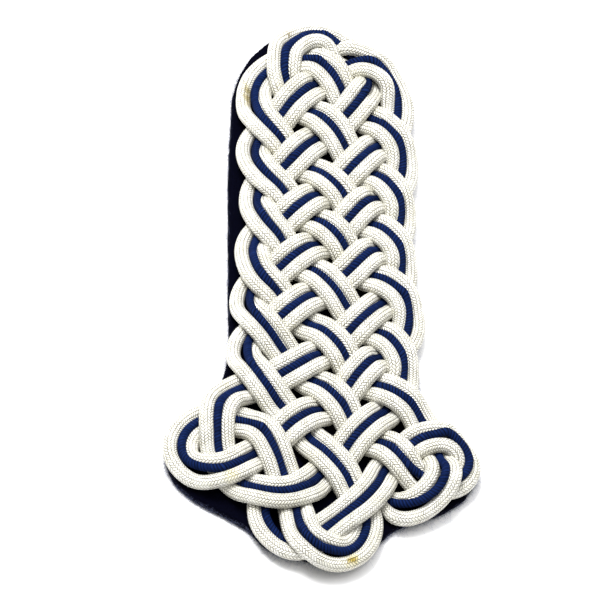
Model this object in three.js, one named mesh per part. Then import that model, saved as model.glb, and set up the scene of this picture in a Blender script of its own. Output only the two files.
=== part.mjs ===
// A plaited shoulder cord on a cloth backing, in millimetres, lying flat.
// +X runs across it, +Y along the strap to the neck end, +Z up. The backing's underside is at z = 0
// and the middle of the whole outline stands over the origin.
// One run of three cords side by side (silver, blue, silver) is plaited in six strands, passes under
// and over itself in turn, and spreads at the sleeve end into a left, a right and a bottom loop.

import * as THREE from 'three';

// Driving dimensions
const CLOTH_THICKNESS = 2.4;
const SILVER_WIDTH = 3.4;
const SILVER_THICKNESS = 3.0;
const BLUE_WIDTH = 1.8;
const BLUE_THICKNESS = 2.0;
const SIDE_SPACING = 2.9;
const PIECE_GAP = 0.25;
const CORD_SIDES = 8;

// Height of the run's middle line where it rests on the cloth, and where it rides over another fold
const LOW = CLOTH_THICKNESS + PIECE_GAP + SILVER_THICKNESS / 2;
const HIGH = LOW + SILVER_THICKNESS + PIECE_GAP;

// The run is level for LEVEL_REACH on both sides of a pass, and more if it turns in WATCHED_REACH.
// It climbs within CLIMB beside the upper one of two passes, and a station follows each LARGEST_TURN.
const LEVEL_REACH = 3.5;
const CLIMB = 11;
const WATCHED_REACH = 4.55;
const LARGEST_TURN = THREE.MathUtils.degToRad(34);
const PLAN_SAMPLES = 16;

// Half of the distance that each cord keeps from another one: left, middle and right cord
const CLEAR_RADII = [1.76, 1.1, 1.76];
// The cords settle in rounds. In each, cords that touch are moved apart and then drawn back by
// HOME_PULL of the way to their route, except in the last FREE_ROUNDS. Stations of one cord that
// are within SAME_TURN of each other belong to one bend, and don't press on each other.
const SETTLE_ROUNDS = 600;
const FREE_ROUNDS = 100;
const ROUNDS_PER_SEARCH = 25;
const HOME_PULL = 0.03;
const SAME_TURN = 3;
const SEARCH_REACH = 2;
const NEARLY_PARALLEL = 1e-9;

// Where the run crosses itself: the name of the fold that lies on top, and the place
const CROSSINGS = {
  T: { x: -10.0, y: 73.0 },
  U: { x: 0.0, y: 72.6 },
  R0: { x: 10.9, y: 74.2 },
  B0: { x: -7.2, y: 62.7 },
  D0: { x: 9.6, y: 60.5 },
  A0: { x: -15.5, y: 50.3 },
  C0: { x: 1.4, y: 54.4 },
  E1: { x: 17.2, y: 53.7 },
  B1: { x: -8.5, y: 43.2 },
  D1: { x: 10.6, y: 43.1 },
  A1: { x: -15.8, y: 35.9 },
  C1: { x: 1.8, y: 34.8 },
  E2: { x: 17.3, y: 35.9 },
  B2: { x: -6.8, y: 26.5 },
  D2: { x: 9.5, y: 27.6 },
  A2: { x: -15.3, y: 20.6 },
  C2: { x: 1.9, y: 21.5 },
  E3: { x: 17.0, y: 20.8 },
  B3: { x: -8.0, y: 13.0 },
  D3: { x: 10.3, y: 11.7 },
  A3: { x: -17.6, y: 4.3 },
  C3: { x: 0.5, y: 4.9 },
  E4: { x: 18.2, y: 6.0 },
  B4: { x: -8.9, y: -4.2 },
  D4: { x: 10.8, y: -6.4 },
  A4: { x: -17.0, y: -9.6 },
  C4: { x: 2.5, y: -13.4 },
  E5: { x: 18.4, y: -12.7 },
  B5: { x: -6.4, y: -21.4 },
  D5: { x: 9.4, y: -22.4 },
  A5: { x: -17.2, y: -26.7 },
  C5: { x: 3.0, y: -30.3 },
  E6: { x: 18.3, y: -26.7 },
  B6: { x: -7.6, y: -38.3 },
  D6: { x: 10.2, y: -39.5 },
  G: { x: -14.9, y: -45.0 },
  C6: { x: 1.7, y: -49.5 },
  E7: { x: 18.8, y: -44.8 },
  H: { x: -28.9, y: -38.5 },
  LL: { x: -25.1, y: -55.0 },
  RL: { x: 28.6, y: -40.5 },
  RM: { x: 31.0, y: -52.4 },
  F: { x: -9.1, y: -61.1 },
  D7: { x: 10.9, y: -60.8 },
  LB: { x: -5.5, y: -73.9 },
};

// The ends of the run, [x, y]. At the start the outer silver cord stands LOOSE_SPREAD further out, and
// the inner one begins HIDDEN_STATIONS later, under the bottom loop.
const START = [[-13.9, -59.2], [-14.8, -62.8], [-13.6, -67.8], [-10.6, -72.6], [-7.2, -74.2]];
const END = [[26.1, -59.1], [21.9, -61.0], [17.6, -60.5], [15.7, -58.2]];
const LOOSE_SPREAD = 2.4;
const HIDDEN_STATIONS = 4;

// The folds in the run's order: the crossing that each passes under, the one that it passes over,
// and the bends [x, y] before and after that, where it turns back at an edge or goes round a loop.
// A third value is the height of a bend that is held up.
const FOLDS = [
  { under: 'LB', over: 'D7' },
  { under: 'E7', over: 'RL', after: [[32.0, -39.2], [36.5, -43.0], [36.7, -46.5], [33.5, -51.6]] },
  { under: 'RM', over: 'E7', before: [[26.5, -51.4]] },
  { under: 'D6', over: 'C5' },
  { under: 'B5', over: 'A4', after: [[-19.7, -2.5]] },
  { under: 'A3', over: 'B3' },
  { under: 'C2', over: 'D2' },
  { under: 'E2', over: 'E1', before: [[21.3, 45.2]] },
  { under: 'D0', over: 'U', after: [[-5.0, 74.8]] },
  { under: 'T', over: 'A0', before: [[-16.7, 66.3], [-18.5, 60.0]] },
  { under: 'B1', over: 'C1' },
  { under: 'D2', over: 'E3', after: [[19.2, 13.1]] },
  { under: 'E4', over: 'D4' },
  { under: 'C4', over: 'B5' },
  { under: 'A5', over: 'H', before: [[-25.5, -32.2]] },
  { under: 'LL', over: 'F', before: [[-21.4, -57.6], [-15.5, -60.8]] },
  { under: 'C6', over: 'D6' },
  { under: 'E6', over: 'E5', before: [[20.0, -20.0]] },
  { under: 'D4', over: 'C3' },
  { under: 'B3', over: 'A2', after: [[-16.2, 29.2]] },
  { under: 'A1', over: 'B1' },
  { under: 'C0', over: 'D0', after: [[13.2, 70.0]] },
  { under: 'R0', over: 'T', before: [[4.3, 79.3], [-2.4, 81.3, HIGH], [-9.3, 79.0]] },
  { under: 'B0', over: 'C0' },
  { under: 'D1', over: 'E2', after: [[19.0, 28.5]] },
  { under: 'E3', over: 'D3' },
  { under: 'C3', over: 'B4' },
  { under: 'A4', over: 'A5', before: [[-21.6, -18.1]] },
  { under: 'B6', over: 'C6' },
  { under: 'D7', over: 'LB', before: [[11.7, -66.8], [7.7, -72.9], [3.2, -76.4]], after: [[-7.8, -67.6]] },
  { under: 'F', over: 'G', after: [[-18.4, -39.6]] },
  { under: 'H', over: 'LL', before: [[-34.6, -41.6], [-38.5, -48.4], [-35.9, -54.0], [-31.7, -56.1]] },
  { under: 'G', over: 'B6' },
  { under: 'C5', over: 'D5' },
  { under: 'E5', over: 'E4', before: [[23.3, -3.6]] },
  { under: 'D3', over: 'C2' },
  { under: 'B2', over: 'A1', after: [[-16.8, 44.7]] },
  { under: 'A0', over: 'B0' },
  { under: 'U', over: 'R0', after: [[16.9, 71.7], [19.1, 63.2]] },
  { under: 'E1', over: 'D1' },
  { under: 'C1', over: 'B2' },
  { under: 'A2', over: 'A3', before: [[-17.4, 12.8]] },
  { under: 'B4', over: 'C4' },
  { under: 'D5', over: 'E6' },
  { under: 'RL', over: 'RM', before: [[31.2, -48.3]] },
];

// The cloth's outline [x, y], which follows the loops that it carries
const CLOTH_OUTLINE = [
  [-2.8, 86.4], [6.5, 83.6], [16.0, 77.8], [22.3, 69.3], [23.9, 58.0], [24.2, 40.0], [24.3, 20.0],
  [25.0, 0.0], [25.2, -18.0], [28.5, -30.0], [36.0, -36.5], [40.4, -42.4], [40.8, -49.0],
  [37.3, -54.8], [30.3, -60.1], [20.7, -64.4], [15.9, -69.1], [9.8, -75.4], [2.4, -77.8],
  [-4.7, -76.8], [-11.3, -75.5], [-16.6, -72.7], [-20.4, -68.4], [-25.3, -66.2], [-35.8, -60.3],
  [-40.2, -54.8], [-41.0, -48.4], [-38.6, -41.0], [-32.8, -34.6], [-27.2, -27.0], [-25.0, -17.0],
  [-25.0, 0.0], [-25.1, 19.0], [-25.1, 38.8], [-24.5, 54.7], [-23.6, 66.0], [-19.6, 75.6],
  [-12.5, 83.2],
];
const CLOTH_OUTLINE_STEPS = 72;

// A curve through rings that are set one by one, each with its own level side vector, so that
// the section keeps upright, meets its neighbours in a mitre, and grows thinner on a steep climb
class RingCurve extends THREE.Curve {
  constructor(rings) {
    super();
    this.rings = rings;
  }

  getPoint(t, target = new THREE.Vector3()) {
    return target.copy(this.rings[Math.round(t * (this.rings.length - 1))].centre);
  }

  getPointAt(u, target) {
    return this.getPoint(u, target);
  }

  computeFrenetFrames() {
    const up = new THREE.Vector3(0, 0, 1);
    const normals = this.rings.map((ring) => ring.side.clone());
    const binormals = this.rings.map(() => up.clone());
    const tangents = normals.map((side) => new THREE.Vector3().crossVectors(side, up).normalize());
    return { tangents, normals, binormals };
  }
}

// The passes over and under in their order, with the bends between them, as points in plan
function planPoints() {
  const bend = ([x, y, height]) => ({ x, y, height, isBend: true });
  const points = START.map(bend);
  for (const { under, over, before = [], after = [] } of FOLDS) {
    points.push({ ...CROSSINGS[under], height: LOW });
    points.push(...before.map(bend));
    points.push({ ...CROSSINGS[over], height: HIGH });
    points.push(...after.map(bend));
  }
  points.push(...END.map(bend));
  return points;
}

// The passes with their distance along the plan curve: where the run has a height of its own
function passesAlong(points, lengths) {
  return points
    .map(({ height, isBend }, index) => ({ height, isBend, at: lengths[index * PLAN_SAMPLES] }))
    .filter((point) => point.height !== undefined);
}

// How much the run turns between two distances along its plan curve
function turnBetween(plan, total, from, to) {
  const heading = (at) => plan.getTangentAt(THREE.MathUtils.clamp(at / total, 0, 1));
  let turn = 0;
  for (let sample = 0; sample < PLAN_SAMPLES; sample += 1) {
    const here = THREE.MathUtils.lerp(from, to, sample / PLAN_SAMPLES);
    const next = THREE.MathUtils.lerp(from, to, (sample + 1) / PLAN_SAMPLES);
    turn += heading(here).angleTo(heading(next));
  }
  return turn;
}

// The marks where the run's slope changes: it stays level across each pass, so far that its inner
// cord does for LEVEL_REACH, and climbs or falls beside the higher one of two neighbours
function marksAlong(passes, plan, total) {
  const marks = [{ at: 0, height: LOW }];
  for (const { height, isBend, at } of passes) {
    const reach = (way) => (isBend ? 0
      : LEVEL_REACH + SIDE_SPACING * turnBetween(plan, total, at, at + way * WATCHED_REACH));
    const last = marks[marks.length - 1];
    const arrival = { at: at - reach(-1), height };
    if (arrival.at - last.at > CLIMB) {
      if (height > last.height) marks.push({ at: arrival.at - CLIMB, height: LOW });
      if (height < last.height) marks.push({ at: last.at + CLIMB, height: LOW });
    }
    marks.push(arrival);
    if (!isBend) marks.push({ at: at + reach(1), height });
  }
  marks.push({ at: total, height: LOW });
  return marks;
}

// The run's stations: distance along the plan curve and height, close together where it turns
function stationsAlong(marks, plan, total) {
  const stations = [marks[0]];
  for (let index = 1; index < marks.length; index += 1) {
    const from = marks[index - 1];
    const to = marks[index];
    const pieces = Math.max(1, Math.ceil(turnBetween(plan, total, from.at, to.at) / LARGEST_TURN));
    for (let piece = 1; piece <= pieces; piece += 1) {
      const part = piece / pieces;
      stations.push({
        at: THREE.MathUtils.lerp(from.at, to.at, part),
        height: THREE.MathUtils.lerp(from.height, to.height, part),
      });
    }
  }
  return stations;
}

// The three cords of the run, left, middle and right, each with a point at every station
function layCords() {
  const points = planPoints();
  const samples = PLAN_SAMPLES * (points.length - 1);
  const plan = new THREE.CatmullRomCurve3(
    points.map(({ x, y }) => new THREE.Vector3(x, y, 0)), false, 'centripetal');
  plan.arcLengthDivisions = samples;
  const lengths = plan.getLengths(samples);
  const total = lengths[samples];
  const passes = passesAlong(points, lengths);
  const stations = stationsAlong(marksAlong(passes, plan, total), plan, total);
  return [SIDE_SPACING, 0, -SIDE_SPACING].map((offset) => stations.map(({ at, height }) => {
    const along = plan.getTangentAt(at / total);
    const left = new THREE.Vector3(-along.y, along.x, 0).normalize();
    const looseness = offset < 0 ? Math.max(0, 1 - at / passes[0].at) : 0;
    return plan.getPointAt(at / total).setZ(height)
      .addScaledVector(left, offset - LOOSE_SPREAD * looseness);
  }));
}

// Where two straight pieces of cord come closest, as the share of the way along each
function closestShares(a, b, c, d) {
  const u = b.clone().sub(a);
  const v = d.clone().sub(c);
  const w = a.clone().sub(c);
  const uu = u.dot(u);
  const uv = u.dot(v);
  const vv = v.dot(v);
  const span = uu * vv - uv * uv;
  const clamp = (value) => THREE.MathUtils.clamp(value, 0, 1);
  let share = span > NEARLY_PARALLEL ? clamp((uv * v.dot(w) - vv * u.dot(w)) / span) : 0.5;
  const other = clamp((uv * share + v.dot(w)) / vv);
  share = clamp((uv * other - u.dot(w)) / uu);
  return [share, other];
}

// Pushes the cords apart wherever they cut each other or themselves, as tight cords press each
// other aside, and keeps them side by side, on the cloth and near their route
function settle(cords) {
  const homes = cords.map((cord) => cord.map((point) => point.clone()));
  const pieces = cords.flatMap((cord, which) => cord.slice(1).map((end, index) => (
    { start: cord[index], end, radius: CLEAR_RADII[which], which, index })));
  let near = [];
  for (let round = 0; round < SETTLE_ROUNDS; round += 1) {
    if (round % ROUNDS_PER_SEARCH === 0) near = nearPieces(pieces);
    near.forEach(([one, other]) => pushApart(one, other));
    const pull = round < SETTLE_ROUNDS - FREE_ROUNDS ? HOME_PULL : 0;
    cords.forEach((cord, which) => cord.forEach((point, index) => {
      point.lerp(homes[which][index], pull);
      point.z = Math.max(point.z, LOW);
    }));
  }
}

// Moves two pieces of cord away from each other until they are clear where they come closest
function pushApart(one, other) {
  const [share, otherShare] = closestShares(one.start, one.end, other.start, other.end);
  const here = one.start.clone().lerp(one.end, share);
  const there = other.start.clone().lerp(other.end, otherShare);
  const apart = here.sub(there);
  const missing = one.radius + other.radius - apart.length();
  if (missing <= 0) return;
  apart.normalize().multiplyScalar(missing * 0.5);
  one.start.addScaledVector(apart, 1 - share);
  one.end.addScaledVector(apart, share);
  other.start.addScaledVector(apart, otherShare - 1);
  other.end.addScaledVector(apart, -otherShare);
}

// The pairs of cord pieces that lie near each other and don't follow one another in one cord
function nearPieces(pieces) {
  const pairs = [];
  pieces.forEach((one, first) => {
    for (const other of pieces.slice(first + 1)) {
      if (one.which === other.which && other.index - one.index <= SAME_TURN) continue;
      const [share, otherShare] = closestShares(one.start, one.end, other.start, other.end);
      const gap = one.start.clone().lerp(one.end, share)
        .distanceTo(other.start.clone().lerp(other.end, otherShare));
      if (gap < SEARCH_REACH * (one.radius + other.radius)) pairs.push([one, other]);
    }
  });
  return pairs;
}

// The rings of one cord through its settled points: each has a level side vector with its mitre
function ringsThrough(points) {
  return points.map((centre, index) => {
    const before = points[Math.max(index - 1, 0)];
    const after = points[Math.min(index + 1, points.length - 1)];
    const arriving = index > 0 ? leftOf(before, centre) : leftOf(centre, after);
    const leaving = index < points.length - 1 ? leftOf(centre, after) : arriving;
    const side = arriving.clone().add(leaving).normalize();
    return { centre, side: side.divideScalar(side.dot(arriving)) };
  });
}

// The level unit vector to the left of the way from one point to the next
function leftOf(from, to) {
  return new THREE.Vector3(from.y - to.y, to.x - from.x, 0).normalize();
}

// A flattened round section of CORD_SIDES corners, with a flat side on top and underneath
function cordSection(width, thickness) {
  const flat = Math.cos(Math.PI / CORD_SIDES);
  const corners = [];
  for (let index = 0; index < CORD_SIDES; index += 1) {
    const angle = (index + 0.5) * 2 * Math.PI / CORD_SIDES;
    corners.push(new THREE.Vector2(
      Math.cos(angle) * width / 2 / flat, Math.sin(angle) * thickness / 2 / flat));
  }
  return new THREE.Shape(corners);
}

// One cord, as a tube through its points
function cordGeometry(points, width, thickness) {
  return new THREE.ExtrudeGeometry(cordSection(width, thickness), {
    steps: points.length - 1,
    extrudePath: new RingCurve(ringsThrough(points)),
    bevelEnabled: false,
  });
}

function clothGeometry() {
  const outline = new THREE.CatmullRomCurve3(
    CLOTH_OUTLINE.map(([x, y]) => new THREE.Vector3(x, y, 0)), true, 'centripetal');
  const edge = outline.getSpacedPoints(CLOTH_OUTLINE_STEPS).slice(0, -1);
  const shape = new THREE.Shape(edge.map(({ x, y }) => new THREE.Vector2(x, y)));
  return new THREE.ExtrudeGeometry(shape, { depth: CLOTH_THICKNESS, steps: 1, bevelEnabled: false });
}

function piece(name, geometry, color, roughness, metalness) {
  const mesh = new THREE.Mesh(geometry, new THREE.MeshStandardMaterial({ color, roughness, metalness }));
  mesh.name = name;
  return mesh;
}

const cords = layCords();
settle(cords);
const [leftPoints, bluePoints, rightPoints] = cords;
const leftCord = cordGeometry(leftPoints.slice(HIDDEN_STATIONS), SILVER_WIDTH, SILVER_THICKNESS);
const blueCord = cordGeometry(bluePoints, BLUE_WIDTH, BLUE_THICKNESS);
const rightCord = cordGeometry(rightPoints, SILVER_WIDTH, SILVER_THICKNESS);

const pieces = [
  piece('cloth_backing', clothGeometry(), 0x0d0f2a, 0.95, 0),
  piece('silver_cord_left', leftCord, 0xe9e7da, 0.45, 0.25),
  piece('silver_cord_right', rightCord, 0xe9e7da, 0.45, 0.25),
  piece('blue_cord', blueCord, 0x14286e, 0.7, 0),
];
const shoulderCord = new THREE.Group();
shoulderCord.name = 'shoulder_cord';
shoulderCord.add(...pieces);

const middle = new THREE.Box3().setFromObject(shoulderCord).getCenter(new THREE.Vector3());
pieces.forEach(({ geometry }) => geometry.translate(-middle.x, -middle.y, 0));

export default shoulderCord;
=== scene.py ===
"""A plaited shoulder cord of silver and blue cords on a dark cloth backing.

The silver and blue cords are carried along the routes that the solid model holds. They settle
against each other as tight cords do, and get their braid, twist and soil from procedural nodes.
Lengths are in millimetres up to the making of a mesh, which is in metres.
"""

import logging
import math
from dataclasses import dataclass, field
from enum import Enum
from typing import Any

import bpy
import numpy as np
from mathutils import Matrix, Vector

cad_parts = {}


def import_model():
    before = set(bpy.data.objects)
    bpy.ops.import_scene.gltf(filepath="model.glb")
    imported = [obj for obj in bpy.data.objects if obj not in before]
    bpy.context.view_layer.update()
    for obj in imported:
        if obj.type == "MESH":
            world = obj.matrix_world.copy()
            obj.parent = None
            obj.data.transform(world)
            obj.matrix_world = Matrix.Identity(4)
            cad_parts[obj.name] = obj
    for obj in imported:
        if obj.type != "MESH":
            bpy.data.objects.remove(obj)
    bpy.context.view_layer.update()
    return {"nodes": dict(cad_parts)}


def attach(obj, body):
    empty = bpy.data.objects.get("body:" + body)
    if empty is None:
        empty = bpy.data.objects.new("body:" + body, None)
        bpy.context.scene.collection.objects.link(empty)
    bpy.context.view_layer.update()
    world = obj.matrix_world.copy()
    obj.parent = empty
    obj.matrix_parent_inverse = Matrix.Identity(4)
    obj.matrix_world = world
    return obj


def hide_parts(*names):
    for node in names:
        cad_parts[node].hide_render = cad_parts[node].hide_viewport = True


frame: dict[str, Any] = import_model()
MM = 0.001
CLOTH_THICKNESS = 2.4
PLACE_DIGITS = 4
DOME_ANGLES = np.linspace(0.12, math.pi / 2, 5)[:-1]
HAIR_SIDES = 3
HAIR_POINTS = 5
HAIR_TAPER = 0.75
# A slanting direction, which a hair's ring is squared up with.
HAIR_SLANT = (0.3, 0.2, 0.93)
log = logging.getLogger("shoulder_cord")

Array = np.ndarray
Object = bpy.types.Object
Material = bpy.types.Material
Socket = bpy.types.NodeSocket
Pair = tuple[float, float]
Place = tuple[float, float, float]
Colour = tuple[float, float, float, float]


def unit(vectors: Array) -> Array:
    """Vectors of length 1 that point the same way: each is divided by its length."""
    return vectors / np.linalg.norm(vectors, axis=1)[:, None]


def lengths_along(points: Array) -> Array:
    """The distance of each point of a line from its first one, measured along the line."""
    return np.concatenate([[0.0], np.cumsum(np.linalg.norm(np.diff(points, axis=0), axis=1))])


def even_points(points: Array, step: float) -> Array:
    """Points at even distances along a line: each is the linear blend of its two neighbours.

    Args:
        points: the line's points, shape (n, 3).
        step: the distance wanted between two points.

    Returns:
        New points, shape (m, 3), which keep both ends.
    """
    along = lengths_along(points)
    count = max(2, int(round(along[-1] / step)) + 1)
    wanted = np.linspace(0.0, along[-1], count)
    return np.stack([np.interp(wanted, along, points[:, axis]) for axis in range(3)], axis=1)


def smooth_line(points: Array, step: float) -> Array:
    """A smooth line through points: cubic Hermite pieces whose slope at a point is that of the
    parabola through it and its two neighbours. It is sampled about twice as often as wanted, and
    even distances are measured off along those samples.

    Args:
        points: the points to pass through, shape (n, 3).
        step: the distance wanted between two samples.

    Returns:
        Samples along the line, shape (m, 3).
    """
    along = lengths_along(points)
    gaps = np.diff(along)[:, None]
    rise = np.diff(points, axis=0) / gaps
    slopes = np.empty_like(points)
    slopes[1:-1] = (rise[:-1] * gaps[1:] + rise[1:] * gaps[:-1]) / (gaps[:-1] + gaps[1:])
    slopes[0], slopes[-1] = rise[0], rise[-1]
    wanted = np.linspace(0.0, along[-1], int(along[-1] / step) * 2)
    piece = np.clip(np.searchsorted(along, wanted, side="right") - 1, 0, len(gaps) - 1)
    gap = gaps[piece]
    part = ((wanted - along[piece]) / gap[:, 0])[:, None]
    line = (
        points[piece] * (2 * part**3 - 3 * part**2 + 1)
        + slopes[piece] * gap * (part**3 - 2 * part**2 + part)
        + points[piece + 1] * (3 * part**2 - 2 * part**3)
        + slopes[piece + 1] * gap * (part**3 - part**2)
    )
    return even_points(line, step)


def tube_rings(line: Array, offsets: Array, dome: float) -> Array:
    """A tube: ring i is line[i] + side * offsets[i, :, 0] + rise * offsets[i, :, 1]. The way is the
    line's central difference, the side is level and to the left of it, and the rise is square to
    both. Each end closes in a dome, whose rings shrink with the sine as they move out with the cosine.

    Args:
        line: the middle line, shape (n, 3).
        offsets: the section at each point of the line, shape (n, sides, 2).
        dome: how far each dome stands out, in the line's unit.

    Returns:
        Rings from one end to the other, shape (n + domes, sides, 3).
    """
    way = unit(np.gradient(line, axis=0))
    side = unit(np.cross(np.array([0.0, 0.0, 1.0]), way))
    rise = np.cross(way, side)
    rings = (
        line[:, None]
        + side[:, None] * offsets[:, :, 0, None]
        + rise[:, None] * offsets[:, :, 1, None]
    )
    shrunk = np.sin(DOME_ANGLES)[:, None, None]
    moved = dome * np.cos(DOME_ANGLES)[:, None, None]
    first = line[0] + (rings[0] - line[0]) * shrunk - way[0] * moved
    last = line[-1] + (rings[-1] - line[-1]) * shrunk + way[-1] * moved
    return np.concatenate([first, rings, last[::-1]])


def surface_object(name: str, rings: Array, along: Array) -> Object:
    """A closed tube object from rings: quads between neighbouring rings, and a fan to the middle
    point of the first and of the last ring. Its UV map "run" holds turns around and length along.

    Args:
        name: the object's name.
        rings: ring points in millimetres, shape (n, sides, 3), counter-clockwise seen from the end.
        along: length along at each ring in millimetres, shape (n,).

    Returns:
        The new object, linked to the scene, in metres.
    """
    count, sides = rings.shape[:2]
    turns = np.linspace(0.0, 1.0, sides + 1)
    corner = np.arange(sides)
    turn = np.stack([corner, corner + 1, corner + 1, corner], axis=1)[None]
    ring = (np.arange(count - 1)[:, None] + np.array([0, 0, 1, 1]))[:, None]
    faces = [(ring * sides + turn % sides).reshape(-1, 4)]
    uv = [np.stack(np.broadcast_arrays(turns[turn], along[ring]), axis=-1).reshape(-1, 2)]
    fans = []
    for end, pole, first, second in ((0, 0, corner + 1, corner), (count - 1, 1, corner, corner + 1)):
        peak = np.full(sides, count * sides + pole)
        fans.append(np.stack([end * sides + first % sides, end * sides + second % sides, peak], axis=1))
        fan_turns = np.stack([turns[first], turns[second], (turns[:-1] + turns[1:]) / 2], axis=1)
        uv.append(np.stack([fan_turns, np.full_like(fan_turns, along[end])], axis=2).reshape(-1, 2))
    vertices = np.concatenate([rings.reshape(-1, 3), rings[[0, -1]].mean(axis=1)]) * MM
    return mesh_object(name, vertices, [*faces, np.concatenate(fans)], np.concatenate(uv))


def mesh_object(name: str, vertices: Array, faces: list[Array], uv: Array | None = None) -> Object:
    """An object from whole arrays of vertices and faces, smooth shaded.

    Args:
        name: the object's name.
        vertices: positions in metres, shape (n, 3).
        faces: arrays of vertex numbers, one array for each number of corners.
        uv: coordinates for each face corner in order, or None.

    Returns:
        The new object, linked to the scene.
    """
    mesh = bpy.data.meshes.new(name)
    corners = np.concatenate([part.reshape(-1) for part in faces]).astype(np.int32)
    totals = np.concatenate([np.full(len(part), part.shape[1]) for part in faces]).astype(np.int32)
    mesh.vertices.add(len(vertices))
    mesh.vertices.foreach_set("co", vertices.astype(np.float32).reshape(-1))
    mesh.loops.add(len(corners))
    mesh.loops.foreach_set("vertex_index", corners)
    mesh.polygons.add(len(totals))
    mesh.polygons.foreach_set("loop_start", (np.cumsum(totals) - totals).astype(np.int32))
    mesh.polygons.foreach_set("loop_total", totals)
    if uv is not None:
        layer = mesh.uv_layers.new(name="run")
        layer.data.foreach_set("uv", uv.astype(np.float32).reshape(-1))
    mesh.update(calc_edges=True)
    mesh.validate()
    mesh.polygons.foreach_set("use_smooth", np.ones(len(mesh.polygons), dtype=bool))
    piece = bpy.data.objects.new(name, mesh)
    bpy.context.scene.collection.objects.link(piece)
    return piece


def dressed(piece: Object, material: Material, node: str | None = None) -> Object:
    """Gives a piece its finish and puts it on the one body of the object.

    Args:
        piece: the piece.
        material: its finish.
        node: the solid that it stands in for, or None for a piece that the solid model leaves out.

    Returns:
        The same piece.
    """
    piece.data.materials.append(material)
    if node is not None:
        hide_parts(node)
    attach(piece, "root")
    return piece


def solid_corners(node: str) -> Array:
    """The corners of a solid's mesh, rounded so that corners which meet are equal.

    Args:
        node: the solid's name.

    Returns:
        Places in millimetres, shape (n, 3).
    """
    vertices = frame["nodes"][node].data.vertices
    places = np.empty(len(vertices) * 3, dtype=np.float32)
    vertices.foreach_get("co", places)
    return np.round(places.reshape(-1, 3) / MM, PLACE_DIGITS)


def steps_from(edges: Array, count: int, start: Array) -> Array:
    """How many edges away each vertex is from the nearest start vertex.

    Args:
        edges: pairs of vertex numbers, shape (n, 2).
        count: how many vertices there are.
        start: numbers of the start vertices.

    Returns:
        Steps for each vertex, shape (count,).
    """
    steps = np.full(count, -1)
    steps[start] = 0
    reached = 0
    while (steps < 0).any():
        here = steps == reached
        found = np.concatenate([edges[here[edges[:, 0]], 1], edges[here[edges[:, 1]], 0]])
        found = found[steps[found] < 0]
        if not len(found):
            raise ValueError("the solid is in more than one piece")
        reached += 1
        steps[found] = reached
    return steps


def ring_middles(node: str) -> Array:
    """The middle line of a tube-shaped solid, found by walking over its mesh from one end cap.

    The corner with the fewest neighbours belongs to a cap, and the corners that are most steps away
    from it are the other cap. The number of steps from that cap is the number of the ring.

    Args:
        node: the solid's name.

    Returns:
        The middle of each ring in millimetres, shape (rings, 3), from the end with the smaller x.
    """
    corners, number = np.unique(solid_corners(node), axis=0, return_inverse=True)
    polygons = frame["nodes"][node].data.polygons
    triangles = np.empty(len(polygons) * 3, dtype=np.int32)
    polygons.foreach_get("vertices", triangles)
    triangles = number.reshape(-1)[triangles].reshape(-1, 3)
    edges = np.concatenate([triangles[:, [0, 1]], triangles[:, [1, 2]], triangles[:, [2, 0]]])
    edges = np.unique(np.sort(edges, axis=1), axis=0)
    neighbours = np.bincount(edges.reshape(-1), minlength=len(corners))
    far_cap = steps_from(edges, len(corners), np.array([neighbours.argmin()]))
    rings = steps_from(edges, len(corners), np.flatnonzero(far_cap == far_cap.max()))
    size = np.bincount(rings)
    middles = np.stack([np.bincount(rings, corners[:, axis]) / size for axis in range(3)], axis=1)
    return middles if middles[0, 0] < middles[-1, 0] else middles[::-1]


@dataclass
class Strand:
    """One cord's middle line on its way to its final place. Over the length "pressed" at each end,
    the cord thins to the share "least" of its size."""

    node: str
    radius: float
    line: Array
    pressed: float = 5.0
    least: float = 0.5

    def fullness(self, line: Array | None = None) -> Array:
        """The share of its full size that the cord has at each point.

        Args:
            line: points along the strand, its own line if left out.

        Returns:
            Shares, shape (n,).
        """
        along = lengths_along(self.line if line is None else line)
        from_end = np.minimum(along, along[-1] - along)
        return self.least + (1 - self.least) * np.clip(from_end / self.pressed, 0.0, 1.0)


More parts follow.
